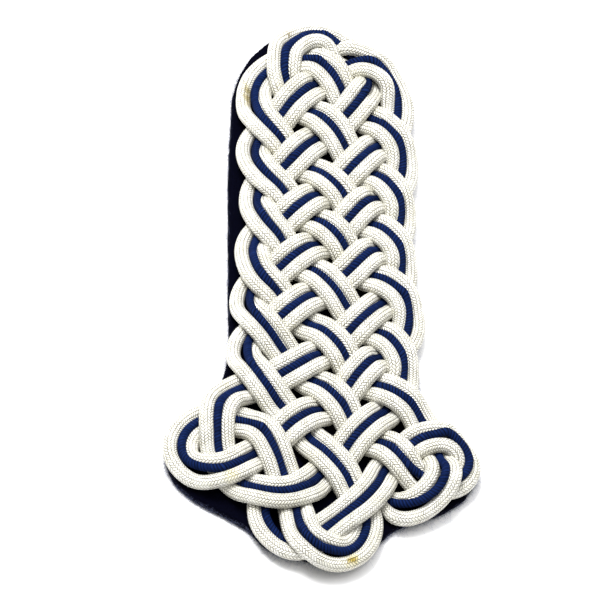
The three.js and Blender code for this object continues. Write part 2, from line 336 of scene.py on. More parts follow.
@dataclass
class PlaitedRun:
    """The three cords of the run, pressed against each other and the cloth as tight cords are.

    Each line is drawn back to its route while it sinks, is pushed out of the other lines and off
    the cloth, and is straightened a little by its own stiffness. The middle cord is sewn to the two
    beside it, and stands a little above the middle between them. The run tilts where it turns. In
    the right wing the middle cord rises more, and keeps some of its route's distance from the
    middle between the other two.

    Lengths are in millimetres and the bank is in radians. In the methods, "points" are all points
    of all strands, shape (n, 3), and a cord is given as the numbers of its points, in order.
    """

    silver_radius: float = 1.82
    blue_radius: float = 0.98
    cloth_top: float = CLOTH_THICKNESS
    spacing: float = 1.0
    tuck: float = 2.4
    rounds: int = 240
    rounds_per_search: int = 12
    free_rounds: int = 40
    home_pull: float = 0.04
    height_pull: float = 0.012
    sag: float = 0.014
    own_reach: int = 7
    margin: float = 1.2
    least_gap: float = 1e-6
    sewn_pull: float = 0.25
    sewn_lift: float = 0.3
    sewn_reach: int = 45
    sewn_limit: float = 5.5
    straightenings: int = 140
    stiffness: tuple[float, ...] = (0.32, -0.33)
    last_smoothings: int = 7
    last_stiffness: tuple[float, ...] = (0.25,)
    bank_per_bend: float = 5.5
    largest_bank: float = 0.7
    bank_window: int = 15
    ceiling: float = 7.6
    side_rise: float = 0.12
    side_drop: float = 1.8
    drawn_in: float = 1.15
    drawn_in_right: float = 1.75
    middle_rise: float = 1.7
    wing_rise: float = 1.1
    wing_start: float = 22.0
    wing_blend: float = 6.0
    widest: float = 0.4
    middle: int = 2
    strands: list[Strand] = field(default_factory=list)

    def add(self, node: str, radius: float) -> Strand:
        """Adds the cord that a solid stands for.

        Args:
            node: the solid's name.
            radius: half of the distance that the cord keeps to one of its own kind.

        Returns:
            The new strand, on its route.
        """
        line = self.tucked(smooth_line(ring_middles(node), self.spacing))
        for _ in range(self.straightenings):
            self.soften(line, np.arange(1, len(line) - 1), self.stiffness)
        strand = Strand(node, radius, line)
        self.strands.append(strand)
        return strand

    def tucked(self, line: Array) -> Array:
        """A line carried straight on at both ends, so that they are hidden under the run.

        Args:
            line: the line's points, shape (n, 3).

        Returns:
            New points at even distances, shape (m, 3).
        """
        added = []
        for end, inward in ((line[0], line[2]), (line[-1], line[-3])):
            added.append(end + (end - inward) / np.linalg.norm(end - inward) * self.tuck)
        return even_points(np.concatenate([added[:1], line, added[1:]]), self.spacing)

    def soften(self, points: Array, inner: Array, weights: tuple[float, ...]) -> None:
        """Takes short waves out of lines: each weight moves all points that far towards the sum of
        their neighbours less twice themselves, and a negative weight moves them back.

        Args:
            points: the points, changed in place, shape (n, 3).
            inner: numbers of the points that have a neighbour on both sides.
            weights: the weights, in turn.
        """
        for weight in weights:
            bend = points[inner - 1] + points[inner + 1] - 2 * points[inner]
            points[inner] += weight * bend

    def bank(self, points: Array, middle: Array, sides: list[Array]) -> Array:
        """Tilts the run where it turns, as a tight flat run tilts: on the outside of a bend a side
        cord goes down and in under the middle cord, and on the inside it comes up. The tilt is the
        smoothed turn for each millimetre times a factor, up to a limit, and every move grows with
        its sine or with 1 less its cosine. The strap's right edge is drawn tighter than its left one.

        Args:
            points: all points, changed in place.
            middle: the middle cord.
            sides: the cords beside it.

        Returns:
            How far the middle cord stands above the middle between the others, at each of its points.
        """
        way = np.gradient(points[middle][:, :2], axis=0)
        heading = np.unwrap(np.arctan2(way[:, 1], way[:, 0]))
        window = np.hanning(self.bank_window) / np.hanning(self.bank_window).sum()
        turn = np.convolve(np.gradient(heading) / self.spacing, window, "same")
        tilt = np.clip(turn * self.bank_per_bend, -self.largest_bank, self.largest_bank)
        moves = np.zeros_like(points)
        for side in sides:
            near = self.beside(points, side, middle)
            here = near - middle[0]
            offset = points[side] - points[near]
            leftness = np.sign(way[here, 0] * offset[:, 1] - way[here, 1] * offset[:, 0])
            width = np.linalg.norm(offset[:, :2], axis=1)
            lean = leftness * np.sin(tilt[here])
            held = (width < self.sewn_limit) & self.within(near, middle)
            outer = held & (lean < 0)
            tight = self.drawn_in + self.drawn_in_right * np.clip(offset[:, 0] / width, 0.0, 1.0)
            drawn = offset[:, :2] * (tight * (1 - np.cos(tilt[here])))[:, None]
            moves[side[outer], :2] = -drawn[outer]
            moves[side[outer], 2] = (lean * self.side_drop)[outer]
            rise = np.minimum(lean * width * self.side_rise, self.ceiling - points[side, 2])
            moves[side[held], 2] += np.maximum(rise, 0.0)[held]
            for axis in range(3):
                moves[side, axis] = np.convolve(moves[side, axis], window, "same")
        lift = np.abs(np.sin(tilt)) * (self.middle_rise + self.wing_rise * self.in_wing(points[middle]))
        moves[middle, 2] = lift
        points += moves
        return lift + self.sewn_lift

    def near_pairs(self, points: Array, radii: Array, cord: Array) -> Array:
        """Pairs of points that nearly touch. The squared distance is a·a + b·b − 2a·b for all pairs.

        Args:
            points: all points.
            radii: the radius at each point.
            cord: the strand's number at each point.

        Returns:
            Pairs of point numbers, shape (m, 2).
        """
        flat = points.astype(np.float32)
        square = (flat**2).sum(axis=1)
        gap = square[:, None] + square[None, :] - 2 * flat @ flat.T
        reach = (radii[:, None] + radii[None, :] + self.margin) ** 2
        near = np.triu(gap < reach, k=1)
        one, other = np.nonzero(near)
        apart = (cord[one] != cord[other]) | (other - one > self.own_reach)
        return np.stack([one[apart], other[apart]], axis=1)

    def beside(self, points: Array, cord: Array, other: Array) -> Array:
        """For each point of a cord, the nearest point of another, looked for at about the same share
        of its length.

        Args:
            points: all points.
            cord: the cord.
            other: the other cord.

        Returns:
            A point's number for each of the cord's points.
        """
        share = np.linspace(0.0, len(other) - 1.0, len(cord)).round().astype(int)
        reach = np.arange(-self.sewn_reach, self.sewn_reach + 1)
        window = other[np.clip(share[:, None] + reach, 0, len(other) - 1)]
        away = points[window] - points[cord][:, None]
        return window[np.arange(len(cord)), (away**2).sum(axis=2).argmin(axis=1)]

    def within(self, near: Array, cord: Array) -> Array:
        """Whether each nearest point lies along its cord, and isn't only the end of it."""
        return (near > cord[0] + 1) & (near < cord[-1] - 1)

    def in_wing(self, points: Array) -> Array:
        """How far each point is in the right wing, from 0 in the strap to 1 in the wing's loop."""
        return np.clip((points[:, 0] - self.wing_start) / self.wing_blend, 0.0, 1.0)

    def kept_aside(self, home: Array, middle: Array, beside: Array) -> Array:
        """How far the middle cord keeps to one side of the middle between the other two: its
        distance to the left on the route, up to a limit that is 0 outside the right wing.

        Args:
            home: all points on their route.
            middle: the middle cord.
            beside: numbers of the points beside its own on each other cord, shape (2, its points).

        Returns:
            Moves in plan, shape (its points, 2).
        """
        way = np.gradient(home[middle][:, :2], axis=0)
        left = unit(np.stack([-way[:, 1], way[:, 0]], axis=1))
        limit = self.widest * self.in_wing(home[middle])
        aside = (home[middle] - home[beside].mean(axis=0))[:, :2]
        return left * np.clip((aside * left).sum(axis=1), -limit, limit)[:, None]

    def push_apart(self, points: Array, radii: Array, pairs: Array) -> None:
        """Moves the points of each pair apart, each by half of what their radii lack. A point in
        more than one pair gets the mean of its moves.

        Args:
            points: all points, changed in place.
            radii: the radius at each point.
            pairs: pairs of point numbers, shape (m, 2).
        """
        one, other = pairs.T
        apart = points[one] - points[other]
        gap = np.linalg.norm(apart, axis=1)
        missing = np.clip(radii[one] + radii[other] - gap, 0.0, None)
        push = apart * (missing / np.maximum(gap, self.least_gap) * 0.5)[:, None]
        hits = np.bincount(pairs[missing > 0].reshape(-1), minlength=len(points))
        for axis in range(3):
            moved = np.bincount(one, push[:, axis], minlength=len(points))
            moved -= np.bincount(other, push[:, axis], minlength=len(points))
            points[:, axis] += moved / np.maximum(hits, 1)

    def settle(self) -> None:
        """Moves all strands to where they rest against each other."""
        points = np.concatenate([strand.line for strand in self.strands])
        radii = np.concatenate([strand.radius * strand.fullness() for strand in self.strands])
        cord = np.concatenate([np.full(len(s.line), n) for n, s in enumerate(self.strands)])
        sides = [np.flatnonzero(cord == number) for number in range(len(self.strands))]
        middle = sides.pop(self.middle)
        lift = self.bank(points, middle, sides)
        home = points.copy()
        inner = np.flatnonzero((cord[1:-1] == cord[:-2]) & (cord[1:-1] == cord[2:])) + 1
        pull = np.array([self.home_pull, self.home_pull, self.height_pull])
        for turn in range(self.rounds):
            if turn % self.rounds_per_search == 0:
                pairs = self.near_pairs(points, radii, cord)
                beside = np.array([self.beside(points, middle, side) for side in sides])
                apart = np.linalg.norm(points[beside] - points[middle], axis=2).max(axis=0)
                held = apart < self.sewn_limit
                for near, side in zip(beside, sides):
                    held &= self.within(near, side)
                aside = self.kept_aside(home, middle, beside)
            if turn < self.rounds - self.free_rounds:
                points += (home - points) * pull
                points[:, 2] -= self.sag
            sewn = points[beside].mean(axis=0)
            sewn[:, :2] += aside
            sewn[:, 2] += lift
            points[middle[held]] += (sewn - points[middle])[held] * self.sewn_pull
            self.soften(points, inner, self.stiffness)
            self.push_apart(points, radii, pairs)
            points[:, 2] = np.maximum(points[:, 2], self.cloth_top + radii)
        for _ in range(self.last_smoothings):
            self.soften(points, inner, self.last_stiffness)
        for number, strand in enumerate(self.strands):
            strand.line = points[cord == number]


class Sum(Enum):
    """The sums that the patterns are worked out with."""

    ADD = "ADD"
    SUBTRACT = "SUBTRACT"
    MULTIPLY = "MULTIPLY"
    DIVIDE = "DIVIDE"
    FLOOR = "FLOOR"
    FRACTION = "FRACT"
    ABSOLUTE = "ABSOLUTE"
    POWER = "POWER"
    SINE = "SINE"
    REMAINDER = "FLOORED_MODULO"


class Effect(Enum):
    """The node groups that the finishes share."""

    BRAID = "braid_relief"
    TWIST = "twist_relief"
    STAIN = "stain_spot"
    WOOL = "wool_nap"


class Graph:
    """A node tree with short words for adding nodes and wiring them."""

    def __init__(self, tree: bpy.types.NodeTree) -> None:
        """Takes the tree that the nodes go into."""
        self.tree = tree

    def feed(self, inputs: Any, values: dict[Any, Any]) -> None:
        """Links sockets to inputs, and sets inputs to plain values.

        Args:
            inputs: the inputs of a node.
            values: a socket or a plain value for each input, by name or number.
        """
        for name, value in values.items():
            if isinstance(value, Socket):
                self.tree.links.new(value, inputs[name])
            else:
                inputs[name].default_value = value

    def node(self, kind: str, values: dict[Any, Any] | None = None, **settings: Any) -> bpy.types.Node:
        """Adds a node.

        Args:
            kind: the node's type.
            values: a socket or a plain value for each input, by name or number.
            settings: the node's own properties.

        Returns:
            The new node.
        """
        made = self.tree.nodes.new(kind)
        for name, value in settings.items():
            setattr(made, name, value)
        self.feed(made.inputs, values or {})
        return made

    def sum(self, kind: Sum, *values: Any) -> Socket:
        """The result of a sum of one or two inputs, with which each further input is summed in turn."""
        result = self.node("ShaderNodeMath", dict(enumerate(values[:2])), operation=kind.value).outputs[0]
        return self.sum(kind, result, *values[2:]) if len(values) > 2 else result

    def plus(self, *values: Any) -> Socket:
        """All inputs added up."""
        return self.sum(Sum.ADD, *values)

    def times(self, *values: Any) -> Socket:
        """All inputs multiplied."""
        return self.sum(Sum.MULTIPLY, *values)

    def less(self, one: Any, other: Any) -> Socket:
        """The first input less the second."""
        return self.sum(Sum.SUBTRACT, one, other)

    def from_middle(self, value: Any) -> Socket:
        """Where a value lies between two whole numbers: −0.5 at one, 0 in the middle, 0.5 at the next."""
        return self.less(self.sum(Sum.FRACTION, value), 0.5)

    def domed(self, offset: Any, power: float) -> Socket:
        """A domed profile: 1 less a power of twice the distance from the middle."""
        return self.less(1.0, self.sum(Sum.POWER, self.times(self.sum(Sum.ABSOLUTE, offset), 2.0), power))

    def ramp(self, value: Any, span: Pair, ends: Pair = (0.0, 1.0)) -> Any:
        """A value taken smoothly from one range, the span, to another, and held at its ends."""
        given = {
            "Value": value, "From Min": span[0], "From Max": span[1], "To Min": ends[0], "To Max": ends[1],
        }
        return self.node("ShaderNodeMapRange", given, interpolation_type="SMOOTHSTEP").outputs[0]

    def blend(self, share: Any, one: Any, other: Any) -> Socket:
        """A colour between two colours."""
        return self.node("ShaderNodeMix", {0: share, 6: one, 7: other}, data_type="RGBA").outputs[2]

    def noise(
        self, place: Any, scale: Any, detail: float = 3.0, rough: float = 0.5, bent: float = 0.0
    ) -> Socket:
        """A cloudy value with so many clouds to a unit of place, finer layers of a strength, and bends."""
        given = {"Vector": place, "Scale": scale, "Detail": detail, "Roughness": rough, "Distortion": bent}
        return self.node("ShaderNodeTexNoise", given).outputs["Fac"]

    def split(self, vector: Any) -> Any:
        """The three parts of a vector."""
        return self.node("ShaderNodeSeparateXYZ", {0: vector}).outputs

    def join(self, one: Any, other: Any) -> Socket:
        """A vector of two parts and 0."""
        return self.node("ShaderNodeCombineXYZ", {0: one, 1: other}).outputs[0]

    def run(self) -> Socket:
        """The place on a tube: turns around and millimetres along."""
        return self.node("ShaderNodeUVMap", uv_map="run").outputs[0]

    def place(self) -> Socket:
        """The place on the object, in metres."""
        return self.node("ShaderNodeTexCoord").outputs["Object"]

    def group(self, kind: Effect, values: dict[str, Any]) -> Any:
        """The outputs of a shared effect that is fed with values."""
        return self.node("ShaderNodeGroup", values, node_tree=bpy.data.node_groups[kind.value]).outputs

    def bump(self, height: Any, strength: float, distance: float) -> Socket:
        """The normal of a relief whose full height is the distance in metres."""
        given = {"Height": height, "Strength": strength, "Distance": distance}
        return self.node("ShaderNodeBump", given).outputs[0]


def effect(kind: Effect, inputs: dict[str, Any], outputs: tuple[str, ...]) -> tuple[Graph, Any, Any]:
    """A new shader node group.

    Args:
        kind: which of the shared effects it is.
        inputs: the default of each input, a number or a vector.
        outputs: the names of the outputs, which are all numbers.

    Returns:
        The group's graph, its input node's outputs and its output node's inputs.
    """
    tree = bpy.data.node_groups.new(kind.value, "ShaderNodeTree")
    for label, value in inputs.items():
        socket = "NodeSocketVector" if isinstance(value, tuple) else "NodeSocketFloat"
        tree.interface.new_socket(name=label, in_out="INPUT", socket_type=socket).default_value = value
    for label in outputs:
        tree.interface.new_socket(name=label, in_out="OUTPUT", socket_type="NodeSocketFloat")
    graph = Graph(tree)
    return graph, graph.node("NodeGroupInput").outputs, graph.node("NodeGroupOutput").inputs


def braid_effect() -> None:
    """The relief of a round braid. Columns of short picks run along the cord, and the picks of
    neighbouring columns slant opposite ways and are half a pick apart. A pick's body is its domed
    profile along times its domed profile across, and a sine along it makes its threads. The group
    takes the run and gives height, a crease mask where painted shade darkens the creases between the picks,
    and a random shade for each pick.
    """
    crown, ridge, threads, thread_height, crease_shade_span = 2.2, 4.0, 4, 0.05, (0.7, 0.1)
    graph, given, made = effect(
        Effect.BRAID,
        {"Run": (0.0, 0.0, 0.0), "Columns": 12.0, "Pick": 0.75, "Slant": 0.55},
        ("Height", "Crease", "Shade"),
    )
    around, along, _ = graph.split(given["Run"])
    across = graph.times(around, given["Columns"])
    column = graph.sum(Sum.FLOOR, across)
    offset = graph.from_middle(across)
    odd = graph.sum(Sum.REMAINDER, column, 2.0)
    slanted = graph.times(graph.less(1.0, graph.times(odd, 2.0)), offset, given["Slant"])
    steps = graph.plus(graph.sum(Sum.DIVIDE, along, given["Pick"]), slanted, graph.times(odd, 0.5))
    within = graph.from_middle(steps)
    body = graph.times(graph.domed(within, crown), graph.domed(offset, ridge))
    wave = graph.sum(Sum.SINE, graph.times(within, threads * 2 * math.pi))
    pick = graph.join(column, graph.sum(Sum.FLOOR, steps))
    graph.feed(made, {
        "Height": graph.plus(body, graph.times(wave, thread_height)),
        # Crease: the mask of the painted shade in the creases between the picks.
        "Crease": graph.ramp(body, crease_shade_span),
        "Shade": graph.node("ShaderNodeTexWhiteNoise", {0: pick}, noise_dimensions="3D").outputs["Value"],
    })


def twist_effect() -> None:
    """The relief of a twisted cord: fine threads that run along its plies, as a sine around them, and
    painted shade in the grooves where one ply meets the next. The group takes the run and gives height,
    a crease mask for that painted shade, and a streaky mask for painted highlight streaks.
    """
    crease_shade_span, streaks_along = (0.35, 1.0), 0.6
    graph, given, made = effect(
        Effect.TWIST,
        {"Run": (0.0, 0.0, 0.0), "Plies": 3.0, "Turn": 3.6, "Threads": 5.0},
        ("Height", "Crease", "Shade"),
    )
    around, along, _ = graph.split(given["Run"])
    ply = graph.times(graph.less(around, graph.sum(Sum.DIVIDE, along, given["Turn"])), given["Plies"])
    thread = graph.times(ply, given["Threads"])
    streak = graph.join(thread, graph.times(along, streaks_along))
    from_ridge = graph.times(graph.sum(Sum.ABSOLUTE, graph.from_middle(ply)), 2.0)
    graph.feed(made, {
        "Height": graph.times(graph.sum(Sum.SINE, graph.times(thread, 2 * math.pi)), 0.5),
        # Crease: the mask of the painted shade in the grooves between the plies.
        "Crease": graph.ramp(from_ridge, crease_shade_span),
        "Shade": graph.noise(streak, 1.0, detail=2.0),
    })


def stain_effect() -> None:
    """A soft spot round a place on the object, in metres: its strength falls from 1 to 0 as the
    distance in radii, plus a noise that makes it ragged, goes from 0.1 to 1.1.
    """
    cloud_scale, faded = 900.0, (1.1, 0.1)
    graph, given, made = effect(
        Effect.STAIN,
        {"Place": (0.0, 0.0, 0.0), "Centre": (0.0, 0.0, 0.0), "Radius": 0.003, "Ragged": 1.1},
        ("Mask",),
    )
    gap = graph.node("ShaderNodeVectorMath", {0: given["Place"], 1: given["Centre"]}, operation="DISTANCE")
    cloud = graph.less(graph.noise(given["Place"], cloud_scale), 0.5)
    near = graph.sum(Sum.DIVIDE, gap.outputs["Value"], given["Radius"])
    near = graph.plus(near, graph.times(cloud, given["Ragged"]))
    graph.feed(made, {"Mask": graph.ramp(near, faded)})


def wool_effect() -> None:
    """The matted surface of fulled wool: short hairs as bent noise over cloudy lumps. The group takes
    the place on the object and gives height and shade.
    """
    hair_share, lump_share, shaded = 0.6, 0.4, (0.35, 0.7)
    graph, given, made = effect(
        Effect.WOOL, {"Place": (0.0, 0.0, 0.0), "Hairs": 5200.0, "Lumps": 700.0}, ("Height", "Shade")
    )
    hairs = graph.noise(given["Place"], given["Hairs"], rough=0.6, bent=1.5)
    lumps = graph.noise(given["Place"], given["Lumps"], detail=2.0)
    graph.feed(made, {
        "Height": graph.plus(graph.times(hairs, hair_share), graph.times(lumps, lump_share)),
        "Shade": graph.ramp(hairs, shaded),
    })


@dataclass(frozen=True)
class Stain:
    """A stained spot: its place and radius in millimetres, its colour and its strength."""

    centre: Place
    radius: float
    colour: Colour
    strength: float


STAINS = (
    Stain((-20.9, 61.9, 6.2), 1.6, (0.42, 0.36, 0.14, 1.0), 0.55),
    Stain((-20.5, 60.2, 6.0), 1.9, (0.30, 0.24, 0.06, 1.0), 0.9),
    Stain((-20.3, 58.2, 6.0), 1.8, (0.34, 0.27, 0.08, 1.0), 0.9),
    Stain((-20.0, 56.2, 6.3), 1.7, (0.55, 0.45, 0.22, 1.0), 0.6),
    Stain((-24.9, -60.6, 9.7), 2.6, (0.84, 0.76, 0.36, 1.0), 0.6),
    Stain((7.6, -80.9, 6.5), 3.0, (0.85, 0.76, 0.36, 1.0), 0.6),
    Stain((6.6, -81.3, 6.7), 1.5, (0.34, 0.24, 0.02, 1.0), 1.0),
    Stain((8.0, -80.6, 6.4), 1.5, (0.36, 0.26, 0.02, 1.0), 1.0),
)


@dataclass(frozen=True)
class Finish:
    """A material with one Principled shader, which each kind of finish feeds in its own way."""

    name: str

    def inputs(self, graph: Graph) -> dict[str, Any]:
        """A socket or a plain value for each input of the shader, worked out in the material's nodes."""
        raise NotImplementedError

    def build(self) -> Material:
        """Makes the material.

        Returns:
            The new material.
        """
        material = bpy.data.materials.new(self.name)
        material.use_nodes = True
        material.node_tree.nodes.clear()
        graph = Graph(material.node_tree)
        shader = graph.node("ShaderNodeBsdfPrincipled", self.inputs(graph))
        graph.node("ShaderNodeOutputMaterial", {"Surface": shader.outputs[0]})
        return material


@dataclass(frozen=True)
class SilverBraid(Finish):
    """Tightly braided metallic thread, warm white, with grey-olive painted shade in the creases between the
    picks.
    """

    name: str = "silver_braid_thread"
    thread: Colour = (0.95, 0.94, 0.89, 1.0)
    dull_thread: Colour = (0.68, 0.66, 0.54, 1.0)
    # Painted shade: the grey-olive colour that the creases between the picks are darkened to.
    crease_shade: Colour = (0.11, 0.095, 0.05, 1.0)
    metallic: float = 0.25
    roughness: Pair = (0.32, 0.58)
    columns: float = 12.0
    pick: float = 0.76
    slant: float = 0.8
    relief: float = 0.00024
    pick_dullness: float = 0.5
    wear_dullness: float = 0.32
    wear_scale: float = 130.0
    # How strongly the painted shade is laid into the creases.
    worn: Pair = (0.35, 0.7)
    crease_shade_depth: float = 0.94
    patch_scale: float = 420.0
    patched: Pair = (0.36, 0.62)
    patch_depth: Pair = (0.6, 1.0)
    stains: tuple[Stain, ...] = ()

    def inputs(self, graph: Graph) -> dict[str, Any]:
        """Some picks are duller than others, worn stretches are duller again, stains lie over both,
        and painted shade darkens the creases between the picks, less in patches.

        Args:
            graph: the material's node tree.

        Returns:
            The shader's inputs.
        """
        place = graph.place()
        picks = {"Columns": self.columns, "Pick": self.pick, "Slant": self.slant}
        braid = graph.group(Effect.BRAID, {"Run": graph.run(), **picks})
        wear = graph.times(graph.ramp(graph.noise(place, self.wear_scale), self.worn), self.wear_dullness)
        dull = graph.plus(graph.times(braid["Shade"], self.pick_dullness), wear)
        colour = graph.blend(dull, self.thread, self.dull_thread)
        for stain in self.stains:
            centre = tuple(value * MM for value in stain.centre)
            spot = {"Place": place, "Centre": centre, "Radius": stain.radius * MM}
            share = graph.times(graph.group(Effect.STAIN, spot)["Mask"], stain.strength)
            colour = graph.blend(share, colour, stain.colour)
        patches = graph.noise(place, self.patch_scale, rough=0.6)
        patchy = graph.ramp(patches, self.patched, self.patch_depth)
        # Painted shade in the creases between the picks, weaker in patches.
        crease_shade_share = graph.times(braid["Crease"], self.crease_shade_depth, patchy)
        return {
            "Base Color": graph.blend(crease_shade_share, colour, self.crease_shade),
            "Roughness": graph.ramp(braid["Shade"], (0.0, 1.0), self.roughness),
            "Metallic": self.metallic,
            "Normal": graph.bump(braid["Height"], 1.0, self.relief),
        }


@dataclass(frozen=True)
class BlueTwist(Finish):
    """Matt blue thread, twisted in plies that take "turn" millimetres for one turn."""

    name: str = "blue_twisted_thread"
    plies: float = 3.0
    turn: float = 2.6
    thread: Colour = (0.0018, 0.007, 0.036, 1.0)
    # Painted highlight: the lit copy of the thread's colour, laid on in streaks.
    lit_thread: Colour = (0.007, 0.02, 0.095, 1.0)
    # Painted shade: the colour of the grooves between the plies.
    crease_shade: Colour = (0.0002, 0.0008, 0.006, 1.0)
    lit: Pair = (0.35, 0.7)
    roughness: float = 0.62
    specular: float = 0.03
    relief: float = 0.00004
    relief_strength: float = 0.8

    def inputs(self, graph: Graph) -> dict[str, Any]:
        """Painted highlight streaks along the threads, and painted shade in the grooves between the plies.

        Args:
            graph: the material's node tree.

        Returns:
            The shader's inputs.
        """
        twist = graph.group(Effect.TWIST, {"Run": graph.run(), "Plies": self.plies, "Turn": self.turn})
        colour = graph.blend(graph.ramp(twist["Shade"], self.lit), self.thread, self.lit_thread)
        return {
            # Painted shade in the grooves between the plies.
            "Base Color": graph.blend(twist["Crease"], colour, self.crease_shade),
            "Roughness": self.roughness,
            "Specular IOR Level": self.specular,
            "Normal": graph.bump(twist["Height"], self.relief_strength, self.relief),
        }


@dataclass(frozen=True)
class DarkWool(Finish):
    """Very dark blue fulled wool with a matted nap."""

    name: str = "dark_wool_cloth"
    cloth: Colour = (0.0003, 0.0003, 0.0014, 1.0)
    nap: Colour = (0.0016, 0.0018, 0.008, 1.0)
    roughness: float = 0.95
    specular: float = 0.02
    relief: float = 0.00025
    relief_strength: float = 0.9

    def inputs(self, graph: Graph) -> dict[str, Any]:
        """The nap over the cloth's own colour.

        Args:
            graph: the material's node tree.

        Returns:
            The shader's inputs.
        """
        wool = graph.group(Effect.WOOL, {"Place": graph.place()})
        return {
            "Base Color": graph.blend(wool["Shade"], self.cloth, self.nap),
            "Roughness": self.roughness,
            "Specular IOR Level": self.specular,
            "Normal": graph.bump(wool["Height"], self.relief_strength, self.relief),
        }


@dataclass(frozen=True)
class LooseHair(Finish):
    """Loose hairs or threads, whose colour changes from the root to the tip."""

    name: str = "loose_wool_hair"
    root: Colour = (0.004, 0.004, 0.02, 1.0)
    tip: Colour = (0.2, 0.24, 0.46, 1.0)
    roughness: float = 0.8

    def inputs(self, graph: Graph) -> dict[str, Any]:
        """The colour at each share of the length, and the roughness."""
        colour = graph.blend(graph.split(graph.run())[1], self.root, self.tip)
        return {"Base Color": colour, "Roughness": self.roughness}


SOILED_THREAD = LooseHair("soiled_thread", (0.30, 0.24, 0.12, 1.0), (0.42, 0.36, 0.2, 1.0))


@dataclass(frozen=True)
class PaleFloor(Finish):
    """Plain white paper under the object, with a faint grain."""

    name: str = "pale_floor"
    colour: Colour = (0.92, 0.92, 0.92, 1.0)
    grain_colour: Colour = (0.9, 0.9, 0.91, 1.0)
    grain_scale: float = 400.0
    grained: Pair = (0.3, 0.7)
    roughness: float = 0.9

    def inputs(self, graph: Graph) -> dict[str, Any]:
        """The grain's colour over the paper's, and the roughness."""
        grain = graph.ramp(graph.noise(graph.place(), self.grain_scale), self.grained)
        colour = graph.blend(grain, self.colour, self.grain_colour)
        return {"Base Color": colour, "Roughness": self.roughness}


@dataclass
class Cord:
    """A cord of the run: a closed tube along its settled line, thin where the strand is pressed. At
    each end a dome stands out by the thickness over "dome_part"."""

    name: str
    strand: Strand
    width: float
    thickness: float
    dome_part: float
    sides: int
    step: float
    slot: str

    def section(self, angle: Array, along: Array) -> Array:
        """Offsets from the line at each angle around and length along, shape (n or 1, sides, 2)."""
        raise NotImplementedError

    def build(self, material: Material) -> Object:
        """Makes the cord. Its UV map holds turns around and length along.

        Args:
            material: the cord's finish.

        Returns:
            The new piece, in place of the solid.
        """
        line = smooth_line(self.strand.line, self.step)
        angle = np.arange(self.sides) * 2 * math.pi / self.sides
        offsets = self.section(angle, lengths_along(line)[:, None])
        offsets = offsets * self.strand.fullness(line)[:, None, None]
        rings = tube_rings(line, offsets, self.thickness / self.dome_part)
        piece = surface_object(self.name, rings, lengths_along(rings.mean(axis=1)))
        return dressed(piece, material, self.strand.node)


@dataclass
class SilverCord(Cord):
    """One braided silver cord of the run, which is nearly round."""

    width: float = 3.95
    thickness: float = 3.85
    dome_part: float = 3.0
    sides: int = 28
    step: float = 0.5
    slot: str = "silver_braid"

    def section(self, angle: Array, along: Array) -> Array:
        """The ellipse (width/2 cos a, thickness/2 sin a), the same all along the cord."""
        return np.stack([np.cos(angle) * self.width / 2, np.sin(angle) * self.thickness / 2], axis=1)[None]


@dataclass
class BlueCord(Cord):
    """The thin blue cord between the silver ones: plies that wind round its settled line."""

    width: float = 2.4
    thickness: float = 2.4
    dome_part: float = 4.0
    sides: int = 24
    step: float = 0.42
    slot: str = "blue_twist"
    plies: int = 3
    turn: float = 2.6
    lobe: float = 0.16

    def section(self, angle: Array, along: Array) -> Array:
        """A lobed circle of radius thickness/2 (1 − lobe + lobe |sin(plies/2 p)|), where p is the angle
        around less the turns that the plies have made so far.

        Args:
            angle: the angle around at each side, shape (sides,).
            along: the length along the line at each point, shape (n, 1).

        Returns:
            Offsets from the line in millimetres, shape (n, sides, 2).
        """
        phase = angle[None, :] - 2 * math.pi * along / self.turn
        lobes = np.abs(np.sin(phase * self.plies / 2))
        radius = self.thickness / 2 * (1 - self.lobe + self.lobe * lobes)
        return np.stack([np.cos(angle) * radius, np.sin(angle) * radius], axis=2)


def curled_lines(root: Array, way: Array, curl: Array, length: Array) -> Array:
    """The middle lines of hairs: root + (way t + curl t²) length, with t from 0 to 1.

    Args:
        root: where each hair starts, shape (n, 3).
        way: the direction in which it starts, shape (n, 3).
        curl: how it bends, shape (n, 3).
        length: how long it is, shape (n,).

    Returns:
        Lines, shape (n, HAIR_POINTS, 3).
    """
    steps = np.linspace(0.0, 1.0, HAIR_POINTS)[:, None]
    return root[:, None] + (way[:, None] * steps + curl[:, None] * steps**2) * length[:, None, None]


def hair_object(name: str, lines: Array, way: Array, radius: float) -> Object:
    """Thin closed tubes along many lines. A tube's radius at the share t of its length is
    radius (1 − taper t), and its UV map "run" holds 0 and t.

    Args:
        name: the object's name.
        lines: the middle lines in millimetres, shape (n, HAIR_POINTS, 3).
        way: the direction in which each line starts, shape (n, 3).
        radius: the radius at the root in millimetres.

    Returns:
        The new object, in metres.
    """
    across = unit(np.cross(way, np.array(HAIR_SLANT)))
    upward = np.cross(way, across)
    angle = np.arange(HAIR_SIDES) * 2 * math.pi / HAIR_SIDES
    taper = radius * (1 - HAIR_TAPER * np.linspace(0.0, 1.0, HAIR_POINTS))
    ring = (
        across[:, None, None] * np.cos(angle)[None, None, :, None]
        + upward[:, None, None] * np.sin(angle)[None, None, :, None]
    ) * taper[None, :, None, None]
    vertices = (lines[:, :, None] + ring).reshape(-1, 3) * MM
    total = HAIR_POINTS * HAIR_SIDES
    corner = np.arange(HAIR_SIDES)
    following = (corner + 1) % HAIR_SIDES
    row = np.arange(HAIR_POINTS - 1)[:, None] * HAIR_SIDES
    after = row + HAIR_SIDES
    quads = np.stack([row + corner, row + following, after + following, after + corner], axis=2)
    caps = np.stack([corner[::-1], total - HAIR_SIDES + corner])
    start = (np.arange(len(lines)) * total)[:, None, None]
    faces = [(quads.reshape(1, -1, 4) + start).reshape(-1, 4), (caps[None] + start).reshape(-1, HAIR_SIDES)]
    numbers = np.concatenate([part.reshape(-1) for part in faces])
    share = numbers % total // HAIR_SIDES / (HAIR_POINTS - 1)
    return mesh_object(name, vertices, faces, np.stack([np.zeros_like(share), share], axis=1))


